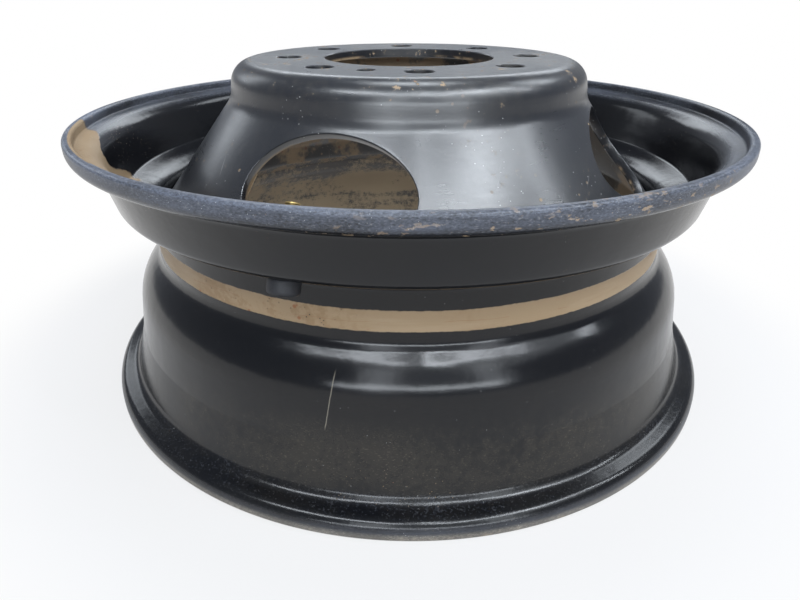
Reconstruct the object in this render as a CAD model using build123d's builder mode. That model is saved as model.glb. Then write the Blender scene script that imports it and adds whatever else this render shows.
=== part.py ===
from build123d import *
import os
from math import atan2, cos, degrees, radians, sin, tan

# Steel disc wheel for a light truck, pressed and rolled, made to be mounted in pairs.
# It lies on its lower lip with the nose of the disc up. Z is the axle line, and Z = 0 is
# the plane of the lower lip. One hand hole, with the valve behind it, faces -Y.
# All sizes are millimetres and degrees.

# Rim, one rolled strip. Seat sizes are those of a 16.5 x 6.00 rim with 15 degree seats.
bead_seat_d = 419.1
rim_width = 152.4
rim_t = 5.6
seat_angle = 15.0
upper_seat_w = 31.0
lower_seat_w = 28.4
flange_height = 14.0
flange_reach = 14.0
flange_slope = 13.0
well_depth = 27.95
well_floor_w = 33.6
shelf_slope = 22.0
ramp_angle = 47.0
bulge_rise = 15.4

# Rim bends: the tight ones by their inner side, the wide ones by the tyre side.
lip_bend_r = 1.4
shoulder_bend_r = 2.4
heel_r = 8.0
well_corner_r = 6.0
ramp_foot_r = 10.0
bulge_r = 36.0
seat_edge_r = 5.0
lip_end_r = 2.0

# Disc, one pressing.
disc_t = 6.3
face_offset = 125.0
hub_bore_d = 116.0
nose_d = 239.2
nose_wall_h = 23.3
nose_wall_lean = 7.0
skirt_w = 18.0
skirt_rise = 10.5
nose_bend_r = 8.2
knee_r = 15.0
skirt_bend_r = 5.7

# Holes in the disc.
bolt_count = 8
bolt_circle_d = 165.1
bolt_hole_d = 17.5
locating_circle_d = 159.6
locating_hole_d = 11.0
hand_hole_count = 4
hand_hole_w = 103.0
hand_hole_h = 66.2
hand_hole_rise = 5.3
hole_edge_r = 0.8
hole_break = 0.6

# Weld between the skirt of the disc and the well.
weld_leg = 6.0
weld_crown = 0.7

# Snap-in valve: rubber body, brass stem.
valve_inset = 11.14
valve_hole_d = 15.9
valve_reach = 37.4
bulb_proud = 0.5
bulb_length = 8.0
bulb_edge_r = 2.2
collar_w = 2.4
neck_d = 11.0
neck_reach = 23.0
neck_edge = 1.0
shank_d = 7.2
shank_show = 0.8
stem_d = 7.7
stem_foot_d = 9.4
stem_foot_w = 3.0
stem_foot_depth = 6.0
stem_tip_chamfer = 0.6

# Valve core, screwed into the stem.
core_bore_d = 5.2
core_bore_depth = 7.5
seal_cone_h = 2.0
air_bore_d = 3.9
core_fit = 0.05
core_sink = 1.2
bridge_w = 2.2
bridge_h = 1.6
barrel_d = 3.4
barrel_bore_d = 2.5
barrel_length = 11.0
barrel_end_t = 0.8
pin_d = 1.1
pin_fit = 0.15
pin_sink = 0.4
pin_collar_d = 2.0
pin_collar_t = 0.8
pin_collar_drop = 3.0
cup_d = 3.0
cup_t = 0.8
washer_t = 0.9
spring_wire_d = 0.3
spring_wire_sides = 6
spring_d = 1.75
spring_turns = 5

os.makedirs("parts", exist_ok=True)


# Rim profile, tyre side, worked out from the sizes above.
def drop(run, angle):
    """Height lost over a run, for a slope given in degrees."""
    return run * tan(radians(angle))


rim_h = rim_width + 2 * flange_reach
seat_r = bead_seat_d / 2
lip_r = seat_r + flange_height
well_r = seat_r - well_depth
bulge_top_r = well_r + bulge_rise
upper_heel_z = flange_reach + rim_width
lower_heel_z = flange_reach
lip_rise = drop(flange_height, flange_slope)
shoulder_r = seat_r - drop(upper_seat_w, seat_angle)
shoulder_z = upper_heel_z - upper_seat_w
well_top_z = shoulder_z - drop(shoulder_r - well_r, shelf_slope)
well_foot_z = well_top_z - well_floor_w
bulge_top_z = well_foot_z - bulge_rise / tan(radians(ramp_angle))
lower_seat_r = seat_r - drop(lower_seat_w, seat_angle)
lower_seat_z = lower_heel_z + lower_seat_w

rim_outline = [
    (lip_r, rim_h),
    (lip_r, upper_heel_z + lip_rise),
    (seat_r, upper_heel_z),
    (shoulder_r, shoulder_z),
    (well_r, well_top_z),
    (well_r, well_foot_z),
    (bulge_top_r, bulge_top_z),
    (lower_seat_r, lower_seat_z),
    (seat_r, lower_heel_z),
    (lip_r, lower_heel_z - lip_rise),
    (lip_r, 0),
]
rim_bends = [
    lip_bend_r + rim_t,
    heel_r,
    shoulder_bend_r + rim_t,
    well_corner_r,
    ramp_foot_r,
    bulge_r,
    seat_edge_r,
    heel_r,
    lip_bend_r + rim_t,
]

# Valve axis: square to the shelf above the well, in the plane of the -Y hand hole.
valve_r = shoulder_r - valve_inset
valve_base_z = shoulder_z - drop(valve_inset, shelf_slope)
valve_dir = (0, sin(radians(shelf_slope)), cos(radians(shelf_slope)))
valve_base = (0, -valve_r, valve_base_z)
valve_axis = Axis(valve_base, valve_dir)
valve_plane = Plane(origin=valve_base, x_dir=(1, 0, 0), z_dir=valve_dir)
valve_section = Plane(origin=valve_base, x_dir=(1, 0, 0), z_dir=(0, -valve_dir[2], valve_dir[1]))

with BuildPart() as rim:
    with BuildSketch(Plane.XZ):
        with BuildLine():
            FilletPolyline(*rim_outline, radius=rim_bends)
            offset(amount=rim_t, side=Side.RIGHT)
        make_face()
    revolve(axis=Axis.Z)
    fillet(rim.edges().group_by(Axis.Z)[-1], lip_end_r)
    fillet(rim.edges().group_by(Axis.Z)[0], lip_end_r)
    with BuildSketch(valve_plane):
        Circle(valve_hole_d / 2)
    extrude(amount=2 * rim_t, both=True, mode=Mode.SUBTRACT)

# Disc profile, outer side, from the hub bore to the end of the skirt, which sits on the well
# floor. The cone runs from the knee to the skirt, so its angle follows from them.
face_z = rim_h / 2 + face_offset
nose_r = nose_d / 2
knee_z = face_z - nose_wall_h
knee_x = nose_r + drop(nose_wall_h, nose_wall_lean)
skirt_r = well_r - rim_t
skirt_end_z = well_foot_z + skirt_rise
skirt_top_z = skirt_end_z + skirt_w
cone_angle = degrees(atan2(skirt_r - knee_x, knee_z - skirt_top_z))

disc_outline = [
    (hub_bore_d / 2, face_z),
    (nose_r, face_z),
    (knee_x, knee_z),
    (skirt_r, skirt_top_z),
    (skirt_r, skirt_end_z),
]
disc_bends = [nose_bend_r + disc_t, knee_r, skirt_bend_r + disc_t]

# Hand holes are punched square to the cone, a little above its middle, the first facing -Y.
hand_hole_r = (knee_x + skirt_r) / 2 - hand_hole_rise * sin(radians(cone_angle))
hand_hole_z = (knee_z + skirt_top_z) / 2 + hand_hole_rise * cos(radians(cone_angle))
hand_hole_turns = [step * 360 / hand_hole_count for step in range(hand_hole_count)]


def hand_hole_plane(turn):
    """Plane square to the cone at one hand hole, set back inside the bowl."""
    centre = Vector(0, -hand_hole_r, hand_hole_z).rotate(Axis.Z, turn)
    across = Vector(1, 0, 0).rotate(Axis.Z, turn)
    outward = Vector(0, -cos(radians(cone_angle)), sin(radians(cone_angle))).rotate(Axis.Z, turn)
    return Plane(origin=centre - outward * hand_hole_w / 2, x_dir=across, z_dir=outward)


with BuildPart() as disc:
    with BuildSketch(Plane.XZ.rotated((0, 0, 180 / hand_hole_count))):
        with BuildLine():
            FilletPolyline(*disc_outline, radius=disc_bends)
            offset(amount=disc_t, side=Side.RIGHT)
        make_face()
    revolve(axis=Axis.Z)
    with BuildSketch(*[hand_hole_plane(turn) for turn in hand_hole_turns]):
        Ellipse(hand_hole_w / 2, hand_hole_h / 2)
    extrude(amount=hand_hole_w, mode=Mode.SUBTRACT)
    fillet(disc.edges(Select.LAST), hole_edge_r)
    with BuildSketch(Plane.XY.offset(face_z)):
        with PolarLocations(bolt_circle_d / 2, bolt_count, start_angle=180 / bolt_count):
            Circle(bolt_hole_d / 2)
        with Locations((0, -locating_circle_d / 2)):
            Circle(locating_hole_d / 2)
    extrude(amount=-2 * disc_t, mode=Mode.SUBTRACT)
    flats = disc.faces().filter_by(Plane.XY)
    hole_rims = [wire for flat in flats for wire in flat.inner_wires()]
    chamfer([edge for hole_rim in hole_rims for edge in hole_rim.edges()], hole_break)

# Weld bead that fills the corner below the skirt, all the way round.
with BuildPart() as disc_weld:
    with BuildSketch(Plane.XZ):
        with BuildLine():
            Polyline(
                (skirt_r - weld_leg, skirt_end_z),
                (skirt_r, skirt_end_z),
                (skirt_r, skirt_end_z - weld_leg),
            )
            SagittaArc(
                (skirt_r, skirt_end_z - weld_leg),
                (skirt_r - weld_leg, skirt_end_z),
                weld_crown,
            )
        make_face()
    revolve(axis=Axis.Z)

# Brass stem, thicker where it carries its thread. Heights along the valve axis start at the
# tyre side of the shelf.
stem_foot_s = -stem_foot_depth
thread_foot_s = neck_reach + shank_show
core_bore_s = valve_reach - core_bore_depth

with BuildPart() as valve_stem:
    with BuildSketch(valve_section):
        Polygon(
            (air_bore_d / 2, stem_foot_s),
            (stem_foot_d / 2, stem_foot_s),
            (stem_foot_d / 2, stem_foot_s + stem_foot_w),
            (shank_d / 2, stem_foot_s + stem_foot_w),
            (shank_d / 2, thread_foot_s),
            (stem_d / 2, thread_foot_s),
            (stem_d / 2, valve_reach - stem_tip_chamfer),
            (stem_d / 2 - stem_tip_chamfer, valve_reach),
            (core_bore_d / 2, valve_reach),
            (core_bore_d / 2, core_bore_s),
            (air_bore_d / 2, core_bore_s - seal_cone_h),
            align=None,
        )
    revolve(axis=valve_axis)

# Rubber body. It is moulded to the stem and takes the shape of the rim around the hole.
bulb_d = valve_hole_d + 2 * bulb_proud

with BuildPart() as valve_body:
    with BuildSketch(valve_section):
        Polygon(
            (air_bore_d / 2, -bulb_length),
            (bulb_d / 2, -bulb_length),
            (bulb_d / 2, rim_t + collar_w),
            (neck_d / 2, neck_reach - neck_edge),
            (neck_d / 2 - neck_edge, neck_reach),
            (air_bore_d / 2, neck_reach),
            align=None,
        )
    revolve(axis=valve_axis)
    bulb_end = valve_body.faces().sort_by(valve_axis)[0]
    fillet(bulb_end.outer_wire().edges(), bulb_edge_r)
    add(valve_stem.part, mode=Mode.SUBTRACT)
    add(rim.part, mode=Mode.SUBTRACT)

# Valve core: threaded plug with a bridge across its mouth.
plug_top_s = valve_reach - core_sink
plug_foot_s = core_bore_s

with BuildPart() as core_plug:
    with BuildSketch(valve_plane.offset(plug_foot_s)):
        Circle(core_bore_d / 2 - core_fit)
        Circle(pin_d / 2 + pin_fit, mode=Mode.SUBTRACT)
    extrude(amount=plug_top_s - plug_foot_s)
    with BuildSketch(valve_plane.offset(plug_top_s)):
        Circle(core_bore_d / 2)
        Rectangle(bridge_w, core_bore_d, mode=Mode.SUBTRACT)
    extrude(amount=-bridge_h, mode=Mode.SUBTRACT)

# Barrel below the plug, closed around the spring apart from the holes for the pin.
barrel_top_s = plug_foot_s
barrel_foot_s = barrel_top_s - barrel_length

with BuildPart() as core_barrel:
    with BuildSketch(valve_section):
        Polygon(
            (pin_d / 2 + pin_fit, barrel_foot_s),
            (barrel_d / 2, barrel_foot_s),
            (barrel_d / 2, barrel_top_s),
            (pin_d / 2 + pin_fit, barrel_top_s),
            (pin_d / 2 + pin_fit, barrel_top_s - barrel_end_t),
            (barrel_bore_d / 2, barrel_top_s - barrel_end_t),
            (barrel_bore_d / 2, barrel_foot_s + barrel_end_t),
            (pin_d / 2 + pin_fit, barrel_foot_s + barrel_end_t),
            align=None,
        )
    revolve(axis=valve_axis)

# Seal ring between the barrel and the cone in the stem.
with BuildPart() as core_seal:
    with BuildSketch(valve_section):
        Polygon(
            (barrel_d / 2, core_bore_s - seal_cone_h),
            (air_bore_d / 2, core_bore_s - seal_cone_h),
            (core_bore_d / 2, core_bore_s),
            (barrel_d / 2, core_bore_s),
            align=None,
        )
    revolve(axis=valve_axis)

# Pin with the collar that the spring pushes on and the cup that shuts the barrel.
pin_top_s = valve_reach - pin_sink
collar_top_s = barrel_top_s - barrel_end_t - pin_collar_drop
cup_top_s = barrel_foot_s - washer_t
cup_foot_s = cup_top_s - cup_t

with BuildPart() as core_pin:
    with BuildSketch(valve_section):
        Polygon(
            (0, cup_foot_s),
            (cup_d / 2, cup_foot_s),
            (cup_d / 2, cup_top_s),
            (pin_d / 2, cup_top_s),
            (pin_d / 2, collar_top_s - pin_collar_t),
            (pin_collar_d / 2, collar_top_s - pin_collar_t),
            (pin_collar_d / 2, collar_top_s),
            (pin_d / 2, collar_top_s),
            (pin_d / 2, pin_top_s),
            (0, pin_top_s),
            align=None,
        )
    revolve(axis=valve_axis)

# Rubber washer on the cup, shut against the foot of the barrel.
with BuildPart() as core_washer:
    with BuildSketch(valve_plane.offset(cup_top_s)):
        Circle(cup_d / 2)
        Circle(pin_d / 2, mode=Mode.SUBTRACT)
    extrude(amount=washer_t)

# Spring between the foot of the barrel and the collar of the pin.
spring_foot_s = barrel_foot_s + barrel_end_t + spring_wire_d / 2
spring_h = collar_top_s - pin_collar_t - spring_wire_d / 2 - spring_foot_s
spring_foot = valve_plane.offset(spring_foot_s)

with BuildPart() as core_spring:
    with BuildLine() as coil:
        Helix(
            pitch=spring_h / spring_turns,
            height=spring_h,
            radius=spring_d / 2,
            center=spring_foot.origin,
            direction=valve_dir,
        )
    with BuildSketch(Plane(origin=coil.line @ 0, z_dir=coil.line % 0)):
        RegularPolygon(spring_wire_d / 2, spring_wire_sides)
    sweep(is_frenet=True)

pieces = {
    "rim": rim,
    "disc": disc,
    "disc_weld": disc_weld,
    "valve_body": valve_body,
    "valve_stem": valve_stem,
    "core_plug": core_plug,
    "core_barrel": core_barrel,
    "core_seal": core_seal,
    "core_spring": core_spring,
    "core_pin": core_pin,
    "core_washer": core_washer,
}
for name, piece in pieces.items():
    piece.part.label = name
    export_step(piece.part, f"parts/{name}.step")
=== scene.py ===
from math import atan2, ceil, cos, hypot, pi, radians, sin, tan

import bmesh
import bpy
import numpy as np
from mathutils import Matrix, Vector, noise


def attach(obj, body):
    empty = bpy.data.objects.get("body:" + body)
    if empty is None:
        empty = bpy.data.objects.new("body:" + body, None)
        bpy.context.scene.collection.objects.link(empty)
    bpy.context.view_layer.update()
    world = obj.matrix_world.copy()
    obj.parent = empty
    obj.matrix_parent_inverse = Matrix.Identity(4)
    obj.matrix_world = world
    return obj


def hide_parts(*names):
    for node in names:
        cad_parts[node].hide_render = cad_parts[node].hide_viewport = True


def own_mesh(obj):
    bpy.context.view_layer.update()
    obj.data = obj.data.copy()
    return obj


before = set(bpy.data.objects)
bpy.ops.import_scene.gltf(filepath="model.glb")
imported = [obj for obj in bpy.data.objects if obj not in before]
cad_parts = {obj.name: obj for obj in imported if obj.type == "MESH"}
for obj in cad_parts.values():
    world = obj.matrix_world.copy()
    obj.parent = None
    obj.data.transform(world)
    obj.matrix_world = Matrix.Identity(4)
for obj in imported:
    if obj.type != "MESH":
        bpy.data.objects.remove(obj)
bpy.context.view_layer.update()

# Sizes in metres. The rim's strip.
bead_seat_d = 0.4191
rim_width = 0.1524
rim_t = 0.0056
seat_angle = radians(15.0)
upper_seat_w = 0.0310
lower_seat_w = 0.0284
flange_height = 0.0140
flange_reach = 0.0140
flange_slope = radians(13.0)
well_depth = 0.02795
well_floor_w = 0.0336
shelf_slope = radians(22.0)
ramp_angle = radians(47.0)
bulge_rise = 0.0154
rim_bends = [0.0070, 0.0080, 0.0080, 0.0060, 0.0100, 0.0360, 0.0050, 0.0080, 0.0070]
lip_end_r = 0.0020
rim_wave = 0.00006

# The disc's plate.
disc_t = 0.0063
face_offset = 0.1250
hub_bore_d = 0.1160
nose_d = 0.2392
nose_wall_h = 0.0233
nose_wall_lean = radians(7.0)
skirt_w = 0.0180
skirt_rise = 0.0105
disc_bends = [0.0145, 0.0150, 0.0120]
bolt_count = 8
bolt_circle_d = 0.1651
bolt_hole_d = 0.0175
locating_circle_d = 0.1596
locating_hole_d = 0.0110
hand_hole_count = 4
hand_hole_w = 0.1030
hand_hole_h = 0.0662
hand_hole_rise = 0.0053
hole_edge_r = 0.0008
hole_break = 0.0006
disc_wave = 0.00008

# Weld bead and valve.
weld_leg = 0.0060
weld_ripples = 310
weld_ripple_h = 0.00035
valve_inset = 0.01114
valve_hole_d = 0.0159
valve_reach = 0.0374
bulb_proud = 0.0005
bulb_length = 0.0080
collar_w = 0.0024
neck_d = 0.0110
neck_reach = 0.0230
neck_edge = 0.0010
bulb_edge_r = 0.0022
shank_d = 0.0072
shank_show = 0.0008
stem_d = 0.0077
stem_foot_d = 0.0094
stem_foot_w = 0.0030
stem_foot_depth = 0.0060
stem_tip_chamfer = 0.0006
core_bore_d = 0.0052
core_bore_depth = 0.0075
seal_cone_h = 0.0020
air_bore_d = 0.0039
thread_pitch = 0.00079
thread_depth = 0.0004
barrel_length = 0.0110
barrel_end_t = 0.0008
pin_collar_t = 0.0008
pin_collar_drop = 0.0030
spring_wire_d = 0.0003
spring_d = 0.00175
spring_turns = 5

# Heights, radii and angles that follow from them.
rim_h = rim_width + 2 * flange_reach
seat_r = bead_seat_d / 2
lip_r = seat_r + flange_height
well_r = seat_r - well_depth
bulge_top_r = well_r + bulge_rise
upper_heel_z = flange_reach + rim_width
lip_rise = flange_height * tan(flange_slope)
shoulder_r = seat_r - upper_seat_w * tan(seat_angle)
shoulder_z = upper_heel_z - upper_seat_w
well_top_z = shoulder_z - (shoulder_r - well_r) * tan(shelf_slope)
well_foot_z = well_top_z - well_floor_w
bulge_top_z = well_foot_z - bulge_rise / tan(ramp_angle)
lower_seat_r = seat_r - lower_seat_w * tan(seat_angle)
lower_seat_z = flange_reach + lower_seat_w
face_z = rim_h / 2 + face_offset
nose_r = nose_d / 2
knee_z = face_z - nose_wall_h
knee_x = nose_r + nose_wall_h * tan(nose_wall_lean)
skirt_r = well_r - rim_t
skirt_end_z = well_foot_z + skirt_rise
skirt_top_z = skirt_end_z + skirt_w
cone_angle = atan2(skirt_r - knee_x, knee_z - skirt_top_z)
hand_hole_r = (knee_x + skirt_r) / 2 - hand_hole_rise * sin(cone_angle)
hand_hole_z = (knee_z + skirt_top_z) / 2 + hand_hole_rise * cos(cone_angle)
bulb_d = valve_hole_d + 2 * bulb_proud
valve_r = shoulder_r - valve_inset
valve_base = Vector((0, -valve_r, shoulder_z - valve_inset * tan(shelf_slope)))
valve_dir = Vector((0, sin(shelf_slope), cos(shelf_slope)))
barrel_top_s = valve_reach - core_bore_depth
spring_seat_s = barrel_top_s - barrel_length + barrel_end_t
spring_h = barrel_top_s - barrel_end_t - pin_collar_drop - pin_collar_t - spring_seat_s

# Steps round the wheel's axis in the meshes of the rim and the disc.
turn_steps = 384


# Sheet metal: a rolled or pressed line, its thickness, and the holes through it.
class SheetLine:
    """Outer side of a revolved sheet, with its bends rounded, as densely spaced points."""

    def __init__(self, corners, bends, run_step, bend_step):
        points, normals = [], []
        corners = [np.array(corner, float) for corner in corners]
        start = corners[0]
        for index, bend in enumerate(bends, 1):
            before = corners[index] - corners[index - 1]
            after = corners[index + 1] - corners[index]
            before /= np.linalg.norm(before)
            after /= np.linalg.norm(after)
            turn = atan2(before[0] * after[1] - before[1] * after[0], before @ after)
            reach = bend * tan(abs(turn) / 2)
            self._run(points, normals, start, corners[index] - before * reach, run_step)
            side = np.array([-before[1], before[0]]) * np.sign(turn)
            centre = corners[index] - before * reach + side * bend
            steps = max(3, ceil(abs(turn) / bend_step))
            for step in range(1, steps):
                angle = turn * step / steps
                spin = np.array([[cos(angle), -sin(angle)], [sin(angle), cos(angle)]])
                points.append(centre - spin @ side * bend)
                normals.append(spin @ np.array([-before[1], before[0]]))
            start = corners[index] + after * reach
        self._run(points, normals, start, corners[-1], run_step)
        self.points = np.array(points)
        self.normals = np.array(normals)
        steps = np.linalg.norm(np.diff(self.points, axis=0), axis=1)
        self.along = np.concatenate([[0], np.cumsum(steps)])
        self.length = self.along[-1]

    @staticmethod
    def _run(points, normals, start, end, run_step):
        """A straight stretch, both of its ends included."""
        run = end - start
        length = np.linalg.norm(run)
        steps = max(1, ceil(length / run_step))
        for step in range(steps + 1):
            points.append(start + run * step / steps)
            normals.append(np.array([-run[1], run[0]]) / length)

    def at(self, along, depth):
        """Radius and height at a distance along the line, and a depth under its outer side."""
        place = [np.interp(along, self.along, self.points[:, axis]) for axis in (0, 1)]
        facing = self.facing(along)
        return place[0] - facing[0] * depth, place[1] - facing[1] * depth

    def facing(self, along):
        """The way the outer side faces at a distance along the line."""
        return [np.interp(along, self.along, self.normals[:, axis]) for axis in (0, 1)]

    def nearest(self, r, z):
        """Distance along the line and height over it, for a point close to it."""
        runs = np.diff(self.points, axis=0)
        offsets = np.array([r, z]) - self.points[:-1]
        shares = np.clip((offsets * runs).sum(1) / (runs**2).sum(1), 0, 1)
        gaps = offsets - runs * shares[:, None]
        best = int(np.argmin((gaps**2).sum(1)))
        height = gaps[best] @ self.normals[best]
        return self.along[best] + shares[best] * (self.along[best + 1] - self.along[best]), height


def spot(turn, r, z):
    """Point at an angle from -Y towards +X, a radius and a height."""
    return Vector((r * sin(turn), -r * cos(turn), z))


def round_over(radius, steps=4):
    """How far a rounded corner stands back, and how deep it is, from one face to the other."""
    turns = [pi / 2 * step / steps for step in range(steps + 1)]
    return [(radius - radius * sin(turn), radius - radius * cos(turn)) for turn in turns]


def break_edge(size):
    """How far a small chamfer stands back, and how deep it is."""
    return [(size, 0.0), (0.0, size)]


def both_edges(edge, thick):
    """Inset and depth of the points round a sheet's end, from its outer side to its inner side."""
    return edge + [(inset, thick - depth) for inset, depth in reversed(edge)]


class Oval:
    """An oval punch: its middle, the way across it, the way it is driven, its width and height."""

    def __init__(self, centre, across, out, width, height):
        self.centre = centre
        self.across = across
        self.down = across.cross(out)
        self.out = out
        self.half_w = width / 2
        self.half_h = height / 2

    def angle_of(self, point):
        """Angle of a point round the oval."""
        offset = point - self.centre
        return atan2(offset @ self.down / self.half_h, offset @ self.across / self.half_w)

    def edge_point(self, angle, widen):
        """Point at an angle round the oval, which is widened by a little."""
        sideways = self.across * ((self.half_w + widen) * cos(angle))
        return self.centre + sideways + self.down * ((self.half_h + widen) * sin(angle))


class PunchedRing:
    """Closed mesh of a revolved sheet, with holes punched through it."""

    def __init__(self, line, thick, first_edge, last_edge, wave):
        self.line = line
        self.thick = thick
        self.wave = wave
        self.points = []
        self.depths = []
        self.faces = []
        far_limit = line.length - last_edge[0][0]
        self.stations = [a for a in np.unique(line.along.round(7)) if first_edge[0][0] < a < far_limit]
        outer = [(a, 0.0) for a in self.stations]
        inner = [(a, thick) for a in reversed(self.stations)]
        last = [(line.length - inset, depth) for inset, depth in both_edges(last_edge, thick)]
        first = [(inset, depth) for inset, depth in reversed(both_edges(first_edge, thick))]
        rows = outer + last + inner + first
        for along, depth in rows:
            for step in range(turn_steps):
                self.add(self.on_sheet(step * 2 * pi / turn_steps, along, depth), depth)
        count = len(self.stations)
        self.outer_rows = list(range(count))
        self.inner_rows = [count + len(last) + count - 1 - index for index in range(count)]
        self.cells = {(row, step) for row in range(len(rows)) for step in range(turn_steps)}
        self.row_count = len(rows)

    def add(self, point, depth):
        """Keeps a point, and how deep it lies in the sheet, which the paint follows."""
        self.points.append(point)
        self.depths.append(depth / self.thick)
        return len(self.points) - 1

    def on_sheet(self, turn, along, depth):
        """Point under a place on the outer side. The whole sheet is very slightly wavy."""
        r, z = self.line.at(along, depth)
        swing = noise.noise(Vector((3 * sin(turn), 3 * cos(turn), 12 * along)))
        return spot(turn, r + self.wave * swing, z)

    def corner(self, row, step):
        """Index of a point of the whole sheet, before the holes."""
        return row % self.row_count * turn_steps + step % turn_steps

    def punch(self, hole, edge, clear, rings=5):
        """Punches a hole. `edge` lists how far it widens, and how deep, towards each side."""
        middle_r = hypot(hole.centre.x, hole.centre.y)
        along, _ = self.line.nearest(middle_r, hole.centre.z)
        first = max(i for i, a in enumerate(self.stations) if a < along - hole.half_h - clear)
        last = min(i for i, a in enumerate(self.stations) if a > along + hole.half_h + clear)
        unit = 2 * pi / turn_steps
        reach = ceil(atan2(hole.half_w + clear, middle_r) / unit)
        home = round(atan2(hole.centre.x, -hole.centre.y) / unit)
        border = [(first, home + step) for step in range(-reach, reach)]
        border += [(row, home + reach) for row in range(first, last)]
        border += [(last, home + step) for step in range(reach, -reach, -1)]
        border += [(row, home - reach) for row in range(last, first, -1)]
        angles = [
            hole.angle_of(self.on_sheet(step * unit, self.stations[row], 0.0)) for row, step in border
        ]
        chain = []
        for rows, depth in ((self.outer_rows, 0.0), (self.inner_rows, self.thick)):
            low, high = sorted((rows[first], rows[last]))
            for row in range(low, high):
                for step in range(home - reach, home + reach):
                    self.cells.discard((row, step % turn_steps))
            corners = [self.corner(rows[row], step) for row, step in border]
            places = [(step * unit, self.stations[row]) for row, step in border]
            loops = [corners] + self.loops_towards(hole, angles, places, depth, edge, rings)
            chain += loops if depth == 0 else loops[::-1]
        for near, far in zip(chain, chain[1:]):
            for index in range(len(near)):
                following = (index + 1) % len(near)
                self.faces.append((near[index], near[following], far[following], far[index]))

    def loops_towards(self, hole, angles, places, depth, edge, rings):
        """Loops of points on one side of the sheet, from the places round the hole into its wall."""
        loops = []
        widest = edge[0][0]
        homes = [self.through(hole, angle, widest, depth) for angle in angles]
        for ring in range(1, rings):
            share = (1 - ring / rings) ** 1.4
            loop = []
            for (far_turn, far_along), (turn, along, _) in zip(places, homes):
                near_turn = turn + 2 * pi * round((far_turn - turn) / (2 * pi))
                mixed_turn = near_turn + share * (far_turn - near_turn)
                mixed_along = along + share * (far_along - along)
                loop.append(self.add(self.on_sheet(mixed_turn, mixed_along, depth), depth))
            loops.append(loop)
        for widen, sink in edge:
            inward = sink if depth == 0 else -sink
            loop = []
            for angle in angles:
                _, _, found = self.through(hole, angle, widen, depth)
                loop.append(self.add(found - hole.out * inward, depth + inward))
            loops.append(loop)
        return loops

    def through(self, hole, angle, widen, depth):
        """Where a line along a punch, at an angle round it, meets one side: turn, distance, point."""
        found = hole.edge_point(angle, widen)
        for _ in range(6):
            r = hypot(found.x, found.y)
            along, height = self.line.nearest(r, found.z)
            slope = self.line.facing(along)
            facing = Vector((found.x / r * slope[0], found.y / r * slope[0], slope[1]))
            found = found - hole.out * ((height + depth) / (facing @ hole.out))
        along, _ = self.line.nearest(hypot(found.x, found.y), found.z)
        return atan2(found.x, -found.y), along, found

    def build(self, name):
        """Makes the Blender object."""
        for row, step in sorted(self.cells):
            self.faces.append((
                self.corner(row, step),
                self.corner(row, step + 1),
                self.corner(row + 1, step + 1),
                self.corner(row + 1, step),
            ))
        return mesh_piece(name, self.points, self.faces, depths=self.depths)


def mesh_piece(name, points, faces, sharp_angle=radians(32), depths=()):
    """Closed mesh object with outward faces, smooth apart from its sharp edges."""
    mesh = bpy.data.meshes.new(name)
    bm = bmesh.new()
    depth_layer = bm.verts.layers.float.new("depth")
    corners = [bm.verts.new(point) for point in points]
    for corner, depth in zip(corners, depths):
        corner[depth_layer] = depth
    for face in faces:
        bm.faces.new([corners[index] for index in face])
    loose = [corner for corner in bm.verts if not corner.link_faces]
    bmesh.ops.delete(bm, geom=loose, context="VERTS")
    bmesh.ops.recalc_face_normals(bm, faces=bm.faces)
    for face in bm.faces:
        face.smooth = True
    for edge in bm.edges:
        edge.smooth = edge.calc_face_angle(0.0) < sharp_angle
    bm.to_mesh(mesh)
    bm.free()
    piece = bpy.data.objects.new(name, mesh)
    bpy.context.scene.collection.objects.link(piece)
    return piece


def rolled_rim():
    """The rim: one rolled strip with its lips' ends rounded and the hole for the valve."""
    line = SheetLine(
        [
            (lip_r, rim_h),
            (lip_r, upper_heel_z + lip_rise),
            (seat_r, upper_heel_z),
            (shoulder_r, shoulder_z),
            (well_r, well_top_z),
            (well_r, well_foot_z),
            (bulge_top_r, bulge_top_z),
            (lower_seat_r, lower_seat_z),
            (seat_r, flange_reach),
            (lip_r, flange_reach - lip_rise),
            (lip_r, 0.0),
        ],
        rim_bends,
        run_step=0.006,
        bend_step=radians(8),
    )
    steel = PunchedRing(line, rim_t, round_over(lip_end_r), round_over(lip_end_r), rim_wave)
    valve_hole = Oval(valve_base, Vector((1, 0, 0)), -valve_dir, valve_hole_d, valve_hole_d)
    steel.punch(valve_hole, edge=[(0.0, 0.0)], clear=0.002, rings=3)
    return steel.build("rim_strip")


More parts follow.
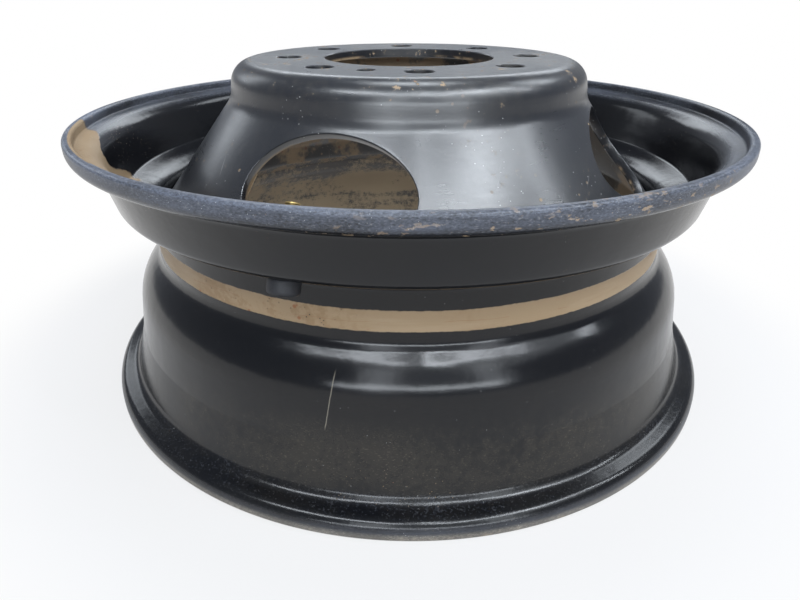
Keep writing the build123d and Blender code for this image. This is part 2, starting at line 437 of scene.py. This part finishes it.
def pressed_disc():
    """The disc: one pressing with its bore, bolt holes, locating hole and hand holes."""
    line = SheetLine(
        [
            (hub_bore_d / 2, face_z),
            (nose_r, face_z),
            (knee_x, knee_z),
            (skirt_r, skirt_top_z),
            (skirt_r, skirt_end_z),
        ],
        disc_bends,
        run_step=0.004,
        bend_step=radians(6),
    )
    steel = PunchedRing(line, disc_t, break_edge(hole_break), round_over(hole_break), disc_wave)
    for index in range(hand_hole_count):
        turn = 2 * pi * index / hand_hole_count
        middle = spot(turn, hand_hole_r, hand_hole_z)
        across = Vector((cos(turn), sin(turn), 0))
        outward = spot(turn, cos(cone_angle), sin(cone_angle))
        hand_hole = Oval(middle, across, outward, hand_hole_w, hand_hole_h)
        steel.punch(hand_hole, edge=round_over(hole_edge_r), clear=0.0008)
    bolt_turns = [2 * pi * (index + 0.5) / bolt_count for index in range(bolt_count)]
    face_holes = [(turn, bolt_circle_d, bolt_hole_d) for turn in bolt_turns]
    face_holes.append((0.0, locating_circle_d, locating_hole_d))
    for turn, circle_d, hole_d in face_holes:
        across = Vector((cos(turn), sin(turn), 0))
        face_hole = Oval(spot(turn, circle_d / 2, face_z), across, Vector((0, 0, 1)), hole_d, hole_d)
        steel.punch(face_hole, edge=break_edge(hole_break), clear=0.0015, rings=4)
    return steel.build("disc_plate")


def weld_bead():
    """The bead under the skirt: overlapping ripples of a slightly uneven height."""
    steps = weld_ripples * 6
    across = 10
    points, faces = [], []
    for step in range(steps):
        turn = 2 * pi * step / steps
        leg = weld_leg * (0.95 + 0.05 * noise.noise(Vector((9 * sin(turn), 9 * cos(turn), 0.5))))
        points.append(spot(turn, skirt_r, skirt_end_z))
        for part in range(across + 1):
            bow = part / across
            phase = (weld_ripples * step / steps + 0.5 * sin(pi * bow)) % 1
            crown = leg * (1 / (sin(pi / 2 * bow) + cos(pi / 2 * bow)) + 0.05 * sin(pi * bow))
            reach = crown - weld_ripple_h * phase * sin(pi * bow)
            inward = reach * cos(pi / 2 * bow)
            down = reach * sin(pi / 2 * bow)
            points.append(spot(turn, skirt_r - inward, skirt_end_z - down))
    section = across + 2
    for step in range(steps):
        for part in range(section):
            near, far = step * section, (step + 1) % steps * section
            following = (part + 1) % section
            faces.append((near + part, near + following, far + following, far + part))
    return mesh_piece("weld_ripples", points, faces, sharp_angle=radians(60))


# The valve: pieces turned about its own axis, heights along it counted from the shelf.
valve_turn = Matrix.Rotation(-shelf_slope, 4, "X")


def on_valve(turn, radius, height):
    """Point at an angle round the valve's axis, a radius and a height along it."""
    local = Vector((radius * cos(turn), radius * sin(turn), height))
    return valve_base + valve_turn @ local


def turned_piece(name, corners, bends, steps=72, swell=None):
    """Closed mesh of a section turned about the valve's axis. `swell` makes a radius uneven."""
    section = SheetLine(corners, bends, run_step=0.0004 if swell else 0.004, bend_step=radians(15))
    rows = []
    for place in section.points:
        if not rows or np.linalg.norm(place - rows[-1]) > 1e-7:
            rows.append(place)
    points, faces = [], []
    for radius, height in rows:
        for step in range(steps):
            turn = 2 * pi * step / steps
            grown = swell(turn, radius, height) if swell else radius
            points.append(on_valve(turn, grown, height))
    for row in range(len(rows)):
        near, far = row * steps, (row + 1) % len(rows) * steps
        for step in range(steps):
            following = (step + 1) % steps
            faces.append((near + step, near + following, far + following, far + step))
    return mesh_piece(name, points, faces)


def valve_rubber():
    """Rubber body, snapped into the rim, with its bulb on the tyre side."""
    bulb, groove, neck = (d / 2 for d in (bulb_d, valve_hole_d, neck_d))
    air, shank, foot = (d / 2 for d in (air_bore_d, shank_d, stem_foot_d))
    collar_s = rim_t + collar_w
    corners = [
        (air, -stem_foot_depth),
        (air, -bulb_length),
        (bulb, -bulb_length),
        (bulb, 0.0),
        (groove, 0.0),
        (groove, rim_t),
        (bulb, rim_t),
        (bulb, collar_s),
        (neck, neck_reach - neck_edge),
        (neck - neck_edge, neck_reach),
        (shank, neck_reach),
        (shank, stem_foot_w - stem_foot_depth),
        (foot, stem_foot_w - stem_foot_depth),
        (foot, -stem_foot_depth),
        (air, -stem_foot_depth),
    ]
    crisp = 0.0002
    soft = 0.0006
    broad = 0.003
    bends = [crisp, bulb_edge_r, soft, crisp, crisp, soft, soft, broad, soft / 2] + [crisp] * 4
    return turned_piece("valve_rubber_body", corners, bends)


def threaded_stem():
    """Brass stem with the thread for the cap on its tip."""
    air, bore, shank, foot, tip = (d / 2 for d in (air_bore_d, core_bore_d, shank_d, stem_foot_d, stem_d))
    thread_foot = neck_reach + shank_show
    thread_top = valve_reach - stem_tip_chamfer
    corners = [
        (air, -stem_foot_depth),
        (foot, -stem_foot_depth),
        (foot, stem_foot_w - stem_foot_depth),
        (shank, stem_foot_w - stem_foot_depth),
        (shank, thread_foot),
        (tip, thread_foot),
        (tip, thread_top),
        (tip - stem_tip_chamfer, valve_reach),
        (bore, valve_reach),
        (bore, valve_reach - core_bore_depth),
        (air, valve_reach - core_bore_depth - seal_cone_h),
        (air, -stem_foot_depth),
    ]

    def thread(turn, radius, height):
        """The tip's radius, cut back in the grooves of the thread."""
        if radius < tip - 1e-5 or not thread_foot < height < thread_top:
            return radius
        phase = (height / thread_pitch - turn / (2 * pi)) % 1
        ends = min(1, (height - thread_foot) / thread_pitch, (thread_top - height) / thread_pitch)
        return radius - thread_depth * ends * abs(2 * phase - 1)

    bends = [0.0001] * (len(corners) - 2)
    return turned_piece("valve_threaded_stem", corners, bends, steps=64, swell=thread)


def coiled_spring():
    """Spring between the foot of the core's barrel and the collar of its pin."""
    sides = 8
    steps = spring_turns * 28
    wire_r = spring_wire_d / 2
    coil_r = spring_d / 2
    coil_h = spring_h - spring_wire_d
    slope = atan2(coil_h / spring_turns, pi * spring_d)
    points, faces = [], []
    for step in range(steps + 1):
        turn = 2 * pi * spring_turns * step / steps
        height = spring_seat_s + wire_r + coil_h * step / steps
        for side in range(sides):
            out = wire_r * cos(2 * pi * side / sides)
            up = wire_r * sin(2 * pi * side / sides)
            back = up * sin(slope) / coil_r
            points.append(on_valve(turn - back, coil_r + out, height + up * cos(slope)))
    for step in range(steps):
        for side in range(sides):
            near, far = step * sides, (step + 1) * sides
            following = (side + 1) % sides
            faces.append((near + side, near + following, far + following, far + side))
    faces.append(tuple(range(sides)))
    faces.append(tuple(range(steps * sides, (steps + 1) * sides)))
    return mesh_piece("valve_coiled_spring", points, faces, sharp_angle=radians(60))


# Finishes. Colours are given as they would look on a screen.
def shade(red, green, blue):
    """Linear colour of a tone given in 256 steps."""
    tones = [tone / 255 for tone in (red, green, blue)]
    return (*[t / 12.92 if t < 0.04045 else ((t + 0.055) / 1.055) ** 2.4 for t in tones], 1.0)


class Term:
    """A socket. Plain signs between terms add the nodes for the sum."""

    def __init__(self, nodes, socket):
        self.nodes = nodes
        self.socket = socket

    def maths(self, operation, *parts):
        return self.nodes.node("ShaderNodeMath", {"operation": operation}, dict(enumerate(parts)))

    def __add__(self, other):
        return self.maths("ADD", self, other)

    def __radd__(self, other):
        return self.maths("ADD", other, self)

    def __sub__(self, other):
        return self.maths("SUBTRACT", self, other)

    def __rsub__(self, other):
        return self.maths("SUBTRACT", other, self)

    def __mul__(self, other):
        return self.maths("MULTIPLY", self, other)

    def __rmul__(self, other):
        return self.maths("MULTIPLY", other, self)

    def __pow__(self, other):
        return self.maths("POWER", self, other)

    def __or__(self, other):
        """Whichever is more."""
        return self.maths("MAXIMUM", self, other)


class Nodes:
    """The nodes of a material or a sky, emptied at first."""

    def __init__(self, owner):
        owner.use_nodes = True
        self.tree = owner.node_tree
        self.tree.nodes.clear()

    def node(self, kind, settings=None, inputs=None, output=0):
        """Adds a node: its settings first, then the values or links of its sockets."""
        made = self.tree.nodes.new(kind)
        for name, value in (settings or {}).items():
            if name == "stops":
                for stop, (position, colour) in zip(made.color_ramp.elements, value):
                    stop.position = position
                    stop.color = colour
            else:
                setattr(made, name, value)
        for key, value in (inputs or {}).items():
            if isinstance(value, Term):
                self.tree.links.new(value.socket, made.inputs[key])
            else:
                made.inputs[key].default_value = value
        return Term(self, made.outputs[output]) if made.outputs else None


class Finish(Nodes):
    """One material, built up in coats."""

    def __init__(self, name, base):
        self.material = bpy.data.materials.new(name)
        super().__init__(self.material)
        self.colour = base
        self.place = self.node("ShaderNodeTexCoord", output="Object")

    def along(self, axis):
        """The place along one axis."""
        return self.node("ShaderNodeSeparateXYZ", inputs={"Vector": self.place}, output=axis)

    def mark(self, name):
        """A number kept with the mesh."""
        return self.node("ShaderNodeAttribute", {"attribute_name": name}, output="Fac")

    def fade(self, value, low, high):
        """0 below `low` and 1 above `high`, with a soft change between."""
        inputs = {"Value": value, "From Min": low, "From Max": high}
        return self.node("ShaderNodeMapRange", {"interpolation_type": "SMOOTHSTEP"}, inputs)

    def band(self, value, low, high, soft):
        """1 between two values."""
        past_high = self.fade(value, high - soft, high + soft)
        return self.fade(value, low - soft, low + soft) * (1 - past_high)

    def stretched(self, x_scale, y_scale, z_scale):
        """The place, drawn out along the axes."""
        inputs = {0: self.place, 1: (x_scale, y_scale, z_scale)}
        return self.node("ShaderNodeVectorMath", {"operation": "MULTIPLY"}, inputs)

    def cloud(self, scale, detail=3.0, rough=0.5, at=None):
        """Cloudy noise from 0 to 1. `scale` is in waves per metre where the place isn't stretched."""
        inputs = {"Vector": at or self.place, "Scale": scale, "Detail": detail, "Roughness": rough}
        return self.node("ShaderNodeTexNoise", inputs=inputs)

    def specks(self, scale, size, at=None):
        """Small round specks, a share of them only. 1 inside a speck."""
        inputs = {"Vector": at or self.place, "Scale": scale}
        cell = self.node("ShaderNodeTexVoronoi", inputs=inputs)
        return 1 - self.fade(cell, size * 0.6, size)

    def mixed(self, share, first, second):
        """Colour between two colours."""
        inputs = {0: share, 6: first, 7: second}
        return self.node("ShaderNodeMix", {"data_type": "RGBA"}, inputs, output=2)

    def coat(self, colour, share):
        """Lays a colour over what is there."""
        self.colour = self.mixed(share, self.colour, colour)

    def bump(self, height, distance, under=None):
        """Small relief, over another if one is given."""
        inputs = {"Height": height, "Distance": distance, "Strength": 1.0}
        if under:
            inputs["Normal"] = under
        return self.node("ShaderNodeBump", inputs=inputs)

    def done(self, roughness, normal, metallic=0.0, specular=0.5):
        """Sets the coats on the surface's shader."""
        inputs = {
            "Base Color": self.colour,
            "Roughness": roughness,
            "Normal": normal,
            "Metallic": metallic,
            "Specular IOR Level": specular,
        }
        surface = self.node("ShaderNodeBsdfPrincipled", inputs=inputs)
        self.node("ShaderNodeOutputMaterial", inputs={"Surface": surface})
        return self.material


black = shade(12, 13, 16)
satin_black = shade(24, 26, 31)
beige = shade(138, 117, 90)
pale_beige = shade(150, 131, 106)
# Paler beige painted inside the barrel as painted light.
barrel_beige_painted_light = shade(202, 182, 152)
barrel_grey = shade(58, 63, 72)
# Grey of the scuffs on the lips and ledges, also used for the painted highlight on the upper lip's top.
scuff_and_highlight_grey = shade(126, 133, 149)
rust = shade(122, 70, 36)
rust_stain = shade(122, 97, 68)
dust = shade(146, 138, 124)
brown_dust = shade(122, 112, 94)
bare_white = shade(214, 214, 212)
rubber_black = shade(30, 31, 35)
brass = shade(214, 186, 122)
dull_brass = shade(150, 124, 78)
core_brass = shade(206, 180, 120)
dull_core_brass = shade(140, 116, 74)
spring_steel = shade(190, 190, 192)
dull_spring_steel = shade(120, 116, 112)
ground = shade(186, 186, 188)

# Where the rim's paint is missing or worn, and the upper lip's top, which gets a painted highlight:
# heights in metres, and turns from -Y towards +X.
barrel_end_z = (0.118, 0.124)
bare_band_z = (0.1016, 0.1139)
hairline_z = (0.1071, 0.1073)
belt_z = (0.079, 0.101)
patch_turns = (radians(-49), radians(-16))
patch_foot_z = (0.1365, 0.1380)
patch_flare_top = radians(11)
patch_flare_top_z = (0.1655, 0.1740)
patch_flare_foot = radians(12)
patch_flare_foot_z = (0.140, 0.1605)
rusty_turns = (radians(-22), radians(9))
upper_lip_z = (0.1690, 0.1745)
upper_lip_end_z = (0.1755, 0.1800)
upper_lip_face_z = (0.1655, 0.1765)
upper_lip_top_z = (0.1772, 0.1798)
lower_lip_z = (0.0060, 0.0100)
lower_lip_end_z = (0.0008, 0.0045)
foot_z = (0.0030, 0.0064)
lower_ledge_z = (0.0105, 0.018)
upper_ledge_z = (0.1655, 0.1745)
low_dust_z = (0.017, 0.052)
unspecked_z = (0.03, 0.128)
chipped_turns_right = (radians(22), radians(64))
chipped_turns_left = (radians(-66), radians(-48))
scratch_foot_z = 0.051
scratch_z = (0.052, 0.082)
scratch_lean = 0.72
scratch_turns = (radians(6.0), radians(6.16))

# The disc wears most round its flat face.
face_wear_z = (0.197, 0.213)


def finish_of_rim():
    """Gloss black over beige, missing on the well's floor and scuffed along the lips."""
    steel = Finish("rim_black_over_beige", beige)
    x, y, z = (steel.along(axis) for axis in "XYZ")
    depth = steel.mark("depth")
    turn = steel.node("ShaderNodeMath", {"operation": "ARCTAN2"}, {0: x, 1: y * -1})
    tyre_side = 1 - steel.fade(depth, 0.3, 0.5)
    barrel = steel.fade(depth, 0.62, 0.9) * (1 - steel.fade(z, *barrel_end_z))
    broad = steel.cloud(6)
    patchy = steel.cloud(28, 4)
    fine = steel.cloud(240, 4, 0.6)
    grit = steel.cloud(900, 3, 0.6)
    streaks = steel.cloud(1, 5, 0.6, at=steel.stretched(9, 9, 95))
    grain = steel.cloud(1, 4, 0.65, at=steel.stretched(650, 650, 1500))
    rings = steel.cloud(1, 2, 0.5, at=steel.stretched(2, 2, 170))

    # Beige coat with its own stains. Inside the barrel the beige is painted paler, as painted light for
    # the shade there.
    steel.coat(rust_stain, steel.fade(patchy + (fine - 0.5) * 0.3, 0.46, 0.72) * 0.5)
    steel.coat(pale_beige, steel.fade(streaks, 0.50, 0.68) * 0.5)
    rusty_side = steel.band(turn, *rusty_turns, 0.12)
    steel.coat(rust_stain, steel.fade(fine + (patchy - 0.5) * 0.5, 0.44, 0.62) * rusty_side * 0.6)
    steel.coat(rust, steel.specks(150, 0.20) * (steel.fade(patchy, 0.5, 0.66) | rusty_side) * 0.8)
    steel.coat(black, steel.specks(340, 0.17) * rusty_side * steel.fade(fine, 0.45, 0.55) * 0.9)
    # Painted light: a paler beige inside the barrel makes up for the shade there.
    steel.coat(barrel_beige_painted_light, barrel * 0.8)

    # Where the black didn't reach: a band on the well floor, a patch inside the lip, the barrel.
    wander = (fine - 0.5) * 0.0010 + (patchy - 0.5) * 0.0016
    floor_band = steel.band(z + wander + (grit - 0.5) * 0.0006, *bare_band_z, 0.0003) * tyre_side
    hairline = steel.band(z + (steel.cloud(11, 2) - 0.5) * 0.016, *hairline_z, 0.0001)
    hairline = hairline * steel.fade(patchy, 0.46, 0.52)
    flare = patch_flare_top * steel.fade(z, *patch_flare_top_z)
    flare = flare + patch_flare_foot * (1 - steel.fade(z, *patch_flare_foot_z))
    patch_turn = turn + flare + (fine - 0.5) * 0.06 + (patchy - 0.5) * 0.05
    patch = steel.band(patch_turn, *patch_turns, 0.01) * steel.fade(z + wander, *patch_foot_z)
    patch = patch * steel.fade(depth, 0.55, 0.7)
    smears = streaks * 0.6 + patchy * 0.4 + (fine - 0.5) * 0.45 + (grit - 0.5) * 0.3
    belt = steel.band(z + (patchy - 0.5) * 0.024, *belt_z, 0.006)
    smears = steel.fade(smears + belt * 0.16 - 0.04, 0.46, 0.66) * 0.85
    upper_lip = steel.fade(z, *upper_lip_z)
    lower_lip = 1 - steel.fade(z, *lower_lip_z)
    lips = upper_lip | lower_lip
    lip_ends = steel.fade(z, *upper_lip_end_z) | (1 - steel.fade(z, *lower_lip_end_z))
    knocked = steel.fade(broad, 0.56, 0.62) * 0.7
    knocked = knocked | steel.band(turn, *chipped_turns_right, 0.05)
    knocked = knocked | steel.band(turn, *chipped_turns_left, 0.03)
    lip_face = steel.band(z, *upper_lip_face_z, 0.0012) * tyre_side
    flaking = steel.cloud(1, 4, 0.65, at=steel.stretched(150, 150, 330))
    chips = steel.fade(flaking + (fine - 0.5) * 0.2, 0.59, 0.63) * (lip_face | lip_ends * 0.6) * knocked
    specked = steel.specks(420, 0.13) * steel.fade(patchy, 0.52, 0.7)
    specked = specked * (1 - steel.band(z, *unspecked_z, 0.01))
    covered = (1 - floor_band) * (1 - patch) * (1 - barrel * (1 - smears)) * (1 - chips)
    covered = covered * (1 - specked * 0.7)
    steel.coat(rust, hairline * floor_band * 0.5)
    steel.coat(barrel_grey, covered * barrel)
    steel.coat(black, covered * (1 - barrel))

    # Scuffs and dust, thick on the lips and low down, and a painted highlight along the upper lip's top.
    # One long scratch runs down the bulge.
    scuffs = steel.fade(streaks * 0.35 + grain * 0.35 + patchy * 0.15 + broad * 0.15, 0.36, 0.62)
    # Painted highlight: the upper lip's top gets more of the scuff grey than the rest of the lip.
    lip_top_painted_highlight = steel.fade(z, *upper_lip_top_z)
    scuffed = upper_lip * (0.40 + 0.22 * lip_top_painted_highlight) + lower_lip * 0.16
    steel.coat(scuff_and_highlight_grey, scuffs * (1 - patch) * scuffed)
    steel.coat(dust, steel.fade(grain, 0.60, 0.70) * upper_lip * (1 - patch) * 0.35)
    foot = 1 - steel.fade(z, *foot_z)
    steel.coat(dust, foot * (0.25 + 0.45 * steel.fade(grain + (patchy - 0.5) * 0.6, 0.40, 0.70)))
    low = steel.band(z, *low_dust_z, 0.012) * tyre_side
    cloudy = steel.cloud(15, 5, 0.6)
    dusty = steel.fade(cloudy * 0.7 + fine * 0.3, 0.38, 0.66)
    film = (dusty * (0.008 + 0.06 * low) + 0.02 * lips) * (1 - floor_band)
    ledges = steel.band(z, *lower_ledge_z, 0.002) | steel.band(z, *upper_ledge_z, 0.002)
    steel.coat(scuff_and_highlight_grey, ledges * steel.fade(grain + (patchy - 0.5) * 0.3, 0.52, 0.74) * 0.08)
    dust_grains = steel.fade(grain, 0.56, 0.70) * (0.02 + 0.06 * lips + 0.20 * low * dusty)
    steel.coat(brown_dust, film + dust_grains)
    steel.coat(bare_white, steel.specks(620, 0.10) * lips * steel.fade(patchy, 0.42, 0.6) * 0.9)
    steel.coat(bare_white, steel.specks(240, 0.045) * steel.fade(patchy, 0.46, 0.6) * 0.5 * (1 - barrel))
    scratch = turn - (z - scratch_foot_z) * scratch_lean + (steel.cloud(60, 2) - 0.5) * 0.012
    scratch = steel.band(scratch, *scratch_turns, 0.0006) * steel.band(z, *scratch_z, 0.002)
    steel.coat(dust, scratch * tyre_side * 0.4)

    roughness = 0.13 + 0.08 * patchy + 0.35 * (1 - covered) + 1.2 * film + lips * (0.12 + 0.12 * scuffs)
    peel = steel.bump(patchy * 0.5 + steel.cloud(90, 2) * 0.3 + fine * 0.06 + rings * 0.12, 0.0004)
    edge = steel.bump(covered + grit * 0.2, 0.00008, peel)
    return steel.done(roughness, edge, specular=0.36)


def finish_of_disc():
    """Satin black over beige, chipped round the flat face and patchy inside the bowl."""
    steel = Finish("disc_black_over_beige", beige)
    depth = steel.mark("depth")
    patchy = steel.cloud(26, 4)
    fine = steel.cloud(220, 4, 0.6)
    grit = steel.cloud(800, 3, 0.6)
    drawn = steel.cloud(1, 4, 0.6, at=steel.stretched(120, 120, 16))
    brushed = steel.cloud(1, 3, 0.6, at=steel.stretched(40, 40, 1300))
    steel.coat(rust_stain, steel.fade(patchy, 0.45, 0.7) * 0.6)
    steel.coat(rust, steel.specks(110, 0.2) * 0.8)

    inner = steel.fade(depth, 0.55, 0.9)
    smears = steel.fade(patchy + (fine - 0.5) * 0.2, 0.44, 0.56)
    near_face = steel.fade(steel.along("Z"), *face_wear_z) * (1 - inner)
    chips = steel.fade(fine + (patchy - 0.5) * 0.6 + near_face * 0.06, 0.72, 0.76)
    chips = chips * (0.2 + 0.8 * near_face)
    flakes = steel.specks(95, 0.12) * steel.fade(steel.cloud(14), 0.46, 0.58)
    covered = (1 - inner * (1 - smears)) * (1 - chips) * (1 - flakes)
    steel.coat(satin_black, covered)
    cloudy = steel.cloud(12, 5, 0.6)
    film = steel.fade(cloudy * 0.6 + fine * 0.4, 0.4, 0.7) * (0.04 + 0.10 * near_face)
    steel.coat(brown_dust, film + steel.fade(grit, 0.58, 0.8) * 0.07)
    scratches = steel.fade(steel.cloud(1, 2, 0.5, at=steel.stretched(700, 30, 10)), 0.68, 0.73)
    steel.coat(bare_white, scratches * steel.fade(patchy, 0.55, 0.65) * 0.25)
    steel.coat(bare_white, steel.specks(260, 0.10) * steel.fade(patchy, 0.46, 0.60) * 0.6)
    roughness = 0.21 + 0.10 * patchy + 0.06 * brushed + 0.3 * (1 - covered) + 0.8 * film
    peel = steel.bump(patchy * 0.4 + drawn * 0.10 + fine * 0.08 + brushed * 0.03, 0.0005)
    edge = steel.bump(covered + grit * 0.2, 0.00008, peel)
    return steel.done(roughness, edge, specular=0.95)


def finish_of_weld():
    """Weld bead under thin, patchy paint."""
    steel = Finish("weld_thin_paint", beige)
    patchy = steel.cloud(40, 4)
    fine = steel.cloud(500, 4, 0.6)
    steel.coat(rust, steel.fade(patchy, 0.5, 0.65) * 0.6)
    covered = steel.fade(patchy + (fine - 0.5) * 0.4, 0.42, 0.55)
    steel.coat(black, covered)
    return steel.done(0.5 - 0.2 * covered, steel.bump(fine, 0.0001))


def finish_of_rubber(name):
    """Dull rubber, dusty in patches."""
    rubber = Finish(name, rubber_black)
    fine = rubber.cloud(700, 4, 0.6)
    rubber.coat(dust, rubber.fade(rubber.cloud(120, 4), 0.5, 0.8) * 0.25)
    return rubber.done(0.48 + 0.2 * fine, rubber.bump(fine, 0.00006), specular=0.4)


def finish_of_metal(name, colour, tarnish, roughness):
    """Turned metal, duller in patches."""
    metal = Finish(name, colour)
    fine = metal.cloud(900, 4, 0.6)
    dull = metal.fade(metal.cloud(260, 3), 0.4, 0.7)
    metal.coat(tarnish, dull * 0.6)
    return metal.done(roughness + 0.25 * dull, metal.bump(fine, 0.00002), metallic=1.0)


rim_finish = finish_of_rim()
disc_finish = finish_of_disc()
rubber_finish = finish_of_rubber("valve_rubber_finish")
seal_finish = finish_of_rubber("valve_seal_finish")
brass_finish = finish_of_metal("valve_brass_finish", brass, dull_brass, 0.3)
core_finish = finish_of_metal("valve_core_finish", core_brass, dull_core_brass, 0.28)
spring_finish = finish_of_metal("valve_spring_finish", spring_steel, dull_spring_steel, 0.25)


def dress(piece, finish, body, node):
    """Gives a new piece its finish and its place in the model."""
    piece.data.materials.append(finish)
    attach(piece, body)
    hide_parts(node)


dress(rolled_rim(), rim_finish, "wheel", "rim")
dress(pressed_disc(), disc_finish, "wheel", "disc")
dress(weld_bead(), finish_of_weld(), "wheel", "disc_weld")
dress(valve_rubber(), rubber_finish, "wheel", "valve_body")
dress(threaded_stem(), brass_finish, "wheel", "valve_stem")

# The spring gets its finish and a mesh of its own. On the real valve it shortens along the valve's axis
# as the pin goes in.
spring = coiled_spring()
dress(spring, spring_finish, "wheel", "core_spring")
spring_seat = on_valve(0.0, 0.0, spring_seat_s)
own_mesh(spring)

# The rest of the valve's core shows its own solids.
for node_names, finish in (
    (["core_plug", "core_barrel", "core_pin"], core_finish),
    (["core_seal", "core_washer"], seal_finish),
):
    for node_name in node_names:
        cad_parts[node_name].data.materials.clear()
        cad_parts[node_name].data.materials.append(finish)


# Floor, lamps and sky. To the eye the floor is a little less white by the wheel.
floor_r = 20.0
floor_drop = 0.0002
near_white = 0.72
white_from_r = (0.27, 0.37)
horizon_tone = (0.28, 0.30, 0.34, 1.0)
overhead_tone = (0.20, 0.22, 0.26, 1.0)
overhead_from = 0.75
camera_side = 18.25
lamp_distance = 4.0
lamp_aim = Vector((0, 0, 0.1))
lamp_tint = (0.88, 0.94, 1.0)

# Each lamp: degrees round from the camera's side, degrees up, width, height and radiance.
lamps = {
    "key_box": (62, 46, 3.0, 1.6, 1.4),
    "front_sky": (8, 34, 3.2, 2.2, 0.6),
    "key_strip": (44, 52, 3.0, 0.44, 17.0),
    "left_strip": (-30, 54, 2.7, 0.46, 17.0),
    "low_strip": (4, 13, 4.6, 0.38, 12.0),
    "near_streak": (12, 56, 0.14, 1.2, 34.0),
    "middle_streak": (54, 52, 0.12, 1.3, 24.0),
    "far_streak": (84, 41, 0.12, 1.5, 34.0),
    "front_left_box": (-11, 25, 0.8, 2.6, 3.2),
    "front_right_box": (33, 25, 0.7, 2.6, 3.2),
    "overhead_box": (176, 76, 1.6, 1.1, 9.0),
    "right_box": (116, 42, 0.9, 1.3, 6.0),
    "left_box": (-127, 22, 1.0, 1.5, 2.4),
    "back_box": (178, 27, 3.4, 0.8, 4.0),
}


def studio_floor():
    """Round pale floor under the wheel, which looks white in the camera and in reflections."""
    mesh = bpy.data.meshes.new("studio_floor")
    bm = bmesh.new()
    bmesh.ops.create_circle(bm, cap_ends=True, segments=96, radius=floor_r)
    bm.to_mesh(mesh)
    bm.free()
    floor = bpy.data.objects.new("studio_floor", mesh)
    bpy.context.scene.collection.objects.link(floor)
    floor.location.z = -floor_drop
    paint = Finish("studio_floor_paint", ground)
    x, y = (paint.along(axis) for axis in "XY")
    away = (x**2 + y**2) ** 0.5
    ray_kinds = ("Camera", "Glossy", "Transmission")
    rays = [paint.node("ShaderNodeLightPath", output=f"Is {kind} Ray") for kind in ray_kinds]
    seen = rays[0] | rays[1] | rays[2]
    plain = paint.node("ShaderNodeEmission", inputs={"Color": (1.0, 1.0, 1.0, 1.0), "Strength": 1.0})
    lit = paint.node("ShaderNodeBsdfDiffuse", inputs={"Color": paint.colour})
    share = seen * (near_white + (1 - near_white) * paint.fade(away, *white_from_r))
    top = paint.node("ShaderNodeMixShader", inputs={0: share, 1: lit, 2: plain})
    paint.node("ShaderNodeOutputMaterial", inputs={"Surface": top})
    mesh.materials.append(paint.material)


def soft_box(name, round_by, up_by, width, height, radiance):
    """Lamp with an even rectangular face, aimed at the wheel."""
    a = radians(camera_side + round_by)
    e = radians(up_by)
    back = Vector((sin(a) * cos(e), -cos(a) * cos(e), sin(e)))
    lamp = bpy.data.lights.new(name, "AREA")
    lamp.shape = "RECTANGLE"
    lamp.size = width
    lamp.size_y = height
    lamp.energy = radiance * pi * width * height
    lamp.color = lamp_tint
    stand = bpy.data.objects.new(name, lamp)
    stand.location = lamp_aim + back * lamp_distance
    stand.rotation_mode = "QUATERNION"
    stand.rotation_quaternion = (-back).to_track_quat("-Z", "Y")
    bpy.context.scene.collection.objects.link(stand)


def sky():
    """Even light from all round, a little darker overhead."""
    world = bpy.data.worlds.new("studio_sky")
    bpy.context.scene.world = world
    nodes = Nodes(world)
    place = nodes.node("ShaderNodeTexCoord", output="Generated")
    height = nodes.node("ShaderNodeSeparateXYZ", inputs={"Vector": place}, output="Z")
    stops = [(0.0, horizon_tone), (overhead_from, overhead_tone)]
    tone = nodes.node("ShaderNodeValToRGB", {"stops": stops}, {"Fac": height})
    glow = nodes.node("ShaderNodeBackground", inputs={"Color": tone})
    nodes.node("ShaderNodeOutputWorld", inputs={"Surface": glow})


studio_floor()
sky()
for lamp_name, lamp_numbers in lamps.items():
    soft_box(lamp_name, *lamp_numbers)

# Camera, as the photo was taken.
camera_away = 0.4409
camera_height = 0.2583
camera_pitch = radians(26.371)
camera_roll = radians(0.057)
camera_swing = radians(camera_side)
camera_yaw = radians(-0.890) - camera_swing

scene = bpy.context.scene
camera = bpy.data.cameras.new("photo_camera")
camera.lens = 26.85
camera.sensor_width = 36.0
camera.shift_x = 0.00175
camera.shift_y = -0.0215
camera.clip_end = 60
tripod = bpy.data.objects.new("photo_camera", camera)
scene.collection.objects.link(tripod)
scene.camera = tripod
tripod.location = (camera_away * sin(camera_swing), -camera_away * cos(camera_swing), camera_height)
tripod.rotation_mode = "XYZ"
facing = Matrix.Rotation(-camera_yaw, 3, "Z") @ Matrix.Rotation(pi / 2 - camera_pitch, 3, "X")
facing = facing @ Matrix.Rotation(camera_roll, 3, "Z")
tripod.rotation_euler = facing.to_euler("XYZ")

scene.view_settings.view_transform = "Standard"
